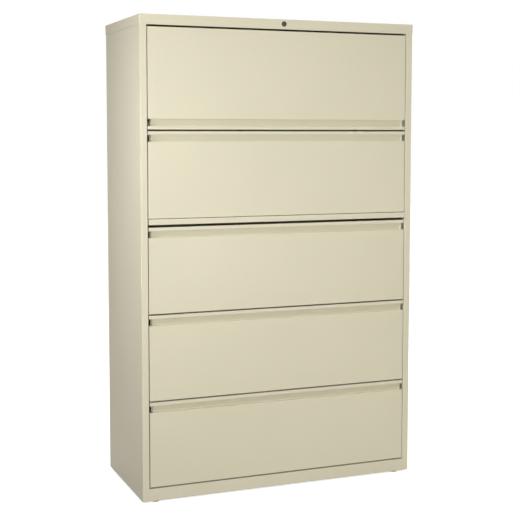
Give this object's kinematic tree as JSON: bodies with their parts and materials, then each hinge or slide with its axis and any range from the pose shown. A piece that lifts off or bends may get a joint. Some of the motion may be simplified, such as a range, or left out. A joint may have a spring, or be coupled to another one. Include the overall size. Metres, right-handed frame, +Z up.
{
  "type": "lateral filing cabinet",
  "caption": "Tall steel lateral filing cabinet with full-width file drawers, a flip-up receding door over a roll-out shelf, a pull-out posting shelf and a gang lock.",
  "frame": {"origin": "on the floor, at the middle of the overall width and depth, levelling feet screwed in", "axes": "+X along the width to the right seen from the front, +Y from front to back, +Z up"},
  "size_m": [1.0668, 0.4756, 1.7193],
  "materials": {
    "ivory_paint": "fine-textured powder coat, ivory, semi-matt",
    "plated_steel": "zinc plated, satin",
    "nylon": "natural nylon",
    "rubber": "black rubber",
    "cast_weight": "raw, dark",
    "lock_metal": "dark nickel, satin",
    "foot_plastic": "moulded, beige"
  },
  "bodies": {
    "case": {"left_side_panel": "ivory_paint", "right_side_panel": "ivory_paint", "back_panel": "ivory_paint", "back_panel_screws": "plated_steel", "top_cap": "ivory_paint", "base_pan": "ivory_paint", "base_weight": "cast_weight", "front_uprights": "plated_steel", "rear_uprights": "plated_steel", "fixed_rails": "plated_steel", "rail_glides": "nylon", "rail_bumpers": "rubber", "door_tracks": "plated_steel", "posting_shelf_guides": "plated_steel", "leveller_nuts": "plated_steel", "lock_housing": "lock_metal", "lock_guides": "plated_steel"},
    "door_carriage": {"door_arms": "plated_steel", "door_runners": "nylon", "door_cross_bar": "plated_steel"},
    "door": {"door_panel": "ivory_paint", "door_liner": "ivory_paint", "door_hinge_pins": "plated_steel"},
    "shelf": {"roll_out_shelf": "ivory_paint", "shelf_inner_rails": "plated_steel"},
    "shelf_mid": {"shelf_mid_rails": "plated_steel"},
    "posting": {"posting_shelf": "ivory_paint", "posting_shelf_runners": "nylon"},
    "lock": {"lock_plug": "lock_metal", "lock_shaft": "plated_steel", "lock_crank": "plated_steel"},
    "lock_lift": {"lock_bar": "plated_steel"},
    "drawer_1": {"drawer_1_front": "ivory_paint", "drawer_1_body": "ivory_paint", "drawer_1_hang_rails": "plated_steel", "drawer_1_inner_rails": "plated_steel"},
    "drawer_1_mid": {"drawer_1_mid_rails": "plated_steel"},
    "drawer_2": {"drawer_2_front": "ivory_paint", "drawer_2_body": "ivory_paint", "drawer_2_hang_rails": "plated_steel", "drawer_2_inner_rails": "plated_steel"},
    "drawer_2_mid": {"drawer_2_mid_rails": "plated_steel"},
    "drawer_3": {"drawer_3_front": "ivory_paint", "drawer_3_body": "ivory_paint", "drawer_3_hang_rails": "plated_steel", "drawer_3_inner_rails": "plated_steel"},
    "drawer_3_mid": {"drawer_3_mid_rails": "plated_steel"},
    "drawer_4": {"drawer_4_front": "ivory_paint", "drawer_4_body": "ivory_paint", "drawer_4_hang_rails": "plated_steel", "drawer_4_inner_rails": "plated_steel"},
    "drawer_4_mid": {"drawer_4_mid_rails": "plated_steel"},
    "foot_front_left": {"leveller_pad_front_left": "foot_plastic"},
    "screw_front_left": {"leveller_stem_front_left": "plated_steel"},
    "foot_front_right": {"leveller_pad_front_right": "foot_plastic"},
    "screw_front_right": {"leveller_stem_front_right": "plated_steel"},
    "foot_rear_left": {"leveller_pad_rear_left": "foot_plastic"},
    "screw_rear_left": {"leveller_stem_rear_left": "plated_steel"},
    "foot_rear_right": {"leveller_pad_rear_right": "foot_plastic"},
    "screw_rear_right": {"leveller_stem_rear_right": "plated_steel"}
  },
  "joints": [
    {"name": "door_recede", "type": "slide", "parent": "case", "child": "door_carriage", "axis": [0, 1, 0], "range_m": [0, 0.3]},
    {"name": "door_flip", "type": "hinge", "parent": "door_carriage", "child": "door", "pos_m": [0, -0.2263, 1.6652], "axis": [-1, 0, 0], "range_deg": [0, 90]},
    {"name": "shelf_slide", "type": "slide", "parent": "case", "child": "shelf", "axis": [0, -1, 0], "range_m": [0, 0.3]},
    {"name": "shelf_mid_slide", "type": "slide", "parent": "case", "child": "shelf_mid", "axis": [0, -1, 0], "range_m": [0, 0.15]},
    {"name": "posting_slide", "type": "slide", "parent": "case", "child": "posting", "axis": [0, -1, 0], "range_m": [0, 0.3]},
    {"name": "lock_turn", "type": "hinge", "parent": "case", "child": "lock", "pos_m": [0.006, -0.2353, 1.7026], "axis": [0, -1, 0], "range_deg": [0, 90]},
    {"name": "lock_bar_slide", "type": "slide", "parent": "case", "child": "lock_lift", "axis": [0, 0, 1], "range_m": [0, 0.01131]},
    {"name": "drawer_1_slide", "type": "slide", "parent": "case", "child": "drawer_1", "axis": [0, -1, 0], "range_m": [0, 0.39]},
    {"name": "drawer_1_mid_slide", "type": "slide", "parent": "case", "child": "drawer_1_mid", "axis": [0, -1, 0], "range_m": [0, 0.195]},
    {"name": "drawer_2_slide", "type": "slide", "parent": "case", "child": "drawer_2", "axis": [0, -1, 0], "range_m": [0, 0.39]},
    {"name": "drawer_2_mid_slide", "type": "slide", "parent": "case", "child": "drawer_2_mid", "axis": [0, -1, 0], "range_m": [0, 0.195]},
    {"name": "drawer_3_slide", "type": "slide", "parent": "case", "child": "drawer_3", "axis": [0, -1, 0], "range_m": [0, 0.39]},
    {"name": "drawer_3_mid_slide", "type": "slide", "parent": "case", "child": "drawer_3_mid", "axis": [0, -1, 0], "range_m": [0, 0.195]},
    {"name": "drawer_4_slide", "type": "slide", "parent": "case", "child": "drawer_4", "axis": [0, -1, 0], "range_m": [0, 0.39]},
    {"name": "drawer_4_mid_slide", "type": "slide", "parent": "case", "child": "drawer_4_mid", "axis": [0, -1, 0], "range_m": [0, 0.195]},
    {"name": "foot_slide_front_left", "type": "slide", "parent": "case", "child": "foot_front_left", "axis": [0, 0, -1], "range_m": [0, 0.015]},
    {"name": "foot_turn_front_left", "type": "hinge", "parent": "foot_front_left", "child": "screw_front_left", "pos_m": [-0.48, -0.2133, 0.02], "axis": [0, 0, -1], "range_deg": [0, 4320]},
    {"name": "foot_slide_front_right", "type": "slide", "parent": "case", "child": "foot_front_right", "axis": [0, 0, -1], "range_m": [0, 0.015]},
    {"name": "foot_turn_front_right", "type": "hinge", "parent": "foot_front_right", "child": "screw_front_right", "pos_m": [0.48, -0.2133, 0.02], "axis": [0, 0, -1], "range_deg": [0, 4320]},
    {"name": "foot_slide_rear_left", "type": "slide", "parent": "case", "child": "foot_rear_left", "axis": [0, 0, -1], "range_m": [0, 0.015]},
    {"name": "foot_turn_rear_left", "type": "hinge", "parent": "foot_rear_left", "child": "screw_rear_left", "pos_m": [-0.48, 0.1943, 0.02], "axis": [0, 0, -1], "range_deg": [0, 4320]},
    {"name": "foot_slide_rear_right", "type": "slide", "parent": "case", "child": "foot_rear_right", "axis": [0, 0, -1], "range_m": [0, 0.015]},
    {"name": "foot_turn_rear_right", "type": "hinge", "parent": "foot_rear_right", "child": "screw_rear_right", "pos_m": [0.48, 0.1943, 0.02], "axis": [0, 0, -1], "range_deg": [0, 4320]}
  ],
  "couplings": [
    {"joint": "door_recede", "follows": "door_flip", "m_per_rad": 0.19099},
    {"joint": "shelf_slide", "follows": "door_flip", "m_per_rad": 0.19099},
    {"joint": "shelf_mid_slide", "follows": "door_flip", "m_per_rad": 0.095493},
    {"joint": "lock_turn", "follows": "lock_bar_slide", "rad_per_m": 138.84},
    {"joint": "drawer_1_mid_slide", "follows": "drawer_1_slide", "ratio": 0.5},
    {"joint": "drawer_2_mid_slide", "follows": "drawer_2_slide", "ratio": 0.5},
    {"joint": "drawer_3_mid_slide", "follows": "drawer_3_slide", "ratio": 0.5},
    {"joint": "drawer_4_mid_slide", "follows": "drawer_4_slide", "ratio": 0.5},
    {"joint": "foot_turn_front_left", "follows": "foot_slide_front_left", "rad_per_m": 5026.5},
    {"joint": "foot_turn_front_right", "follows": "foot_slide_front_right", "rad_per_m": 5026.5},
    {"joint": "foot_turn_rear_left", "follows": "foot_slide_rear_left", "rad_per_m": 5026.5},
    {"joint": "foot_turn_rear_right", "follows": "foot_slide_rear_right", "rad_per_m": 5026.5}
  ]
}
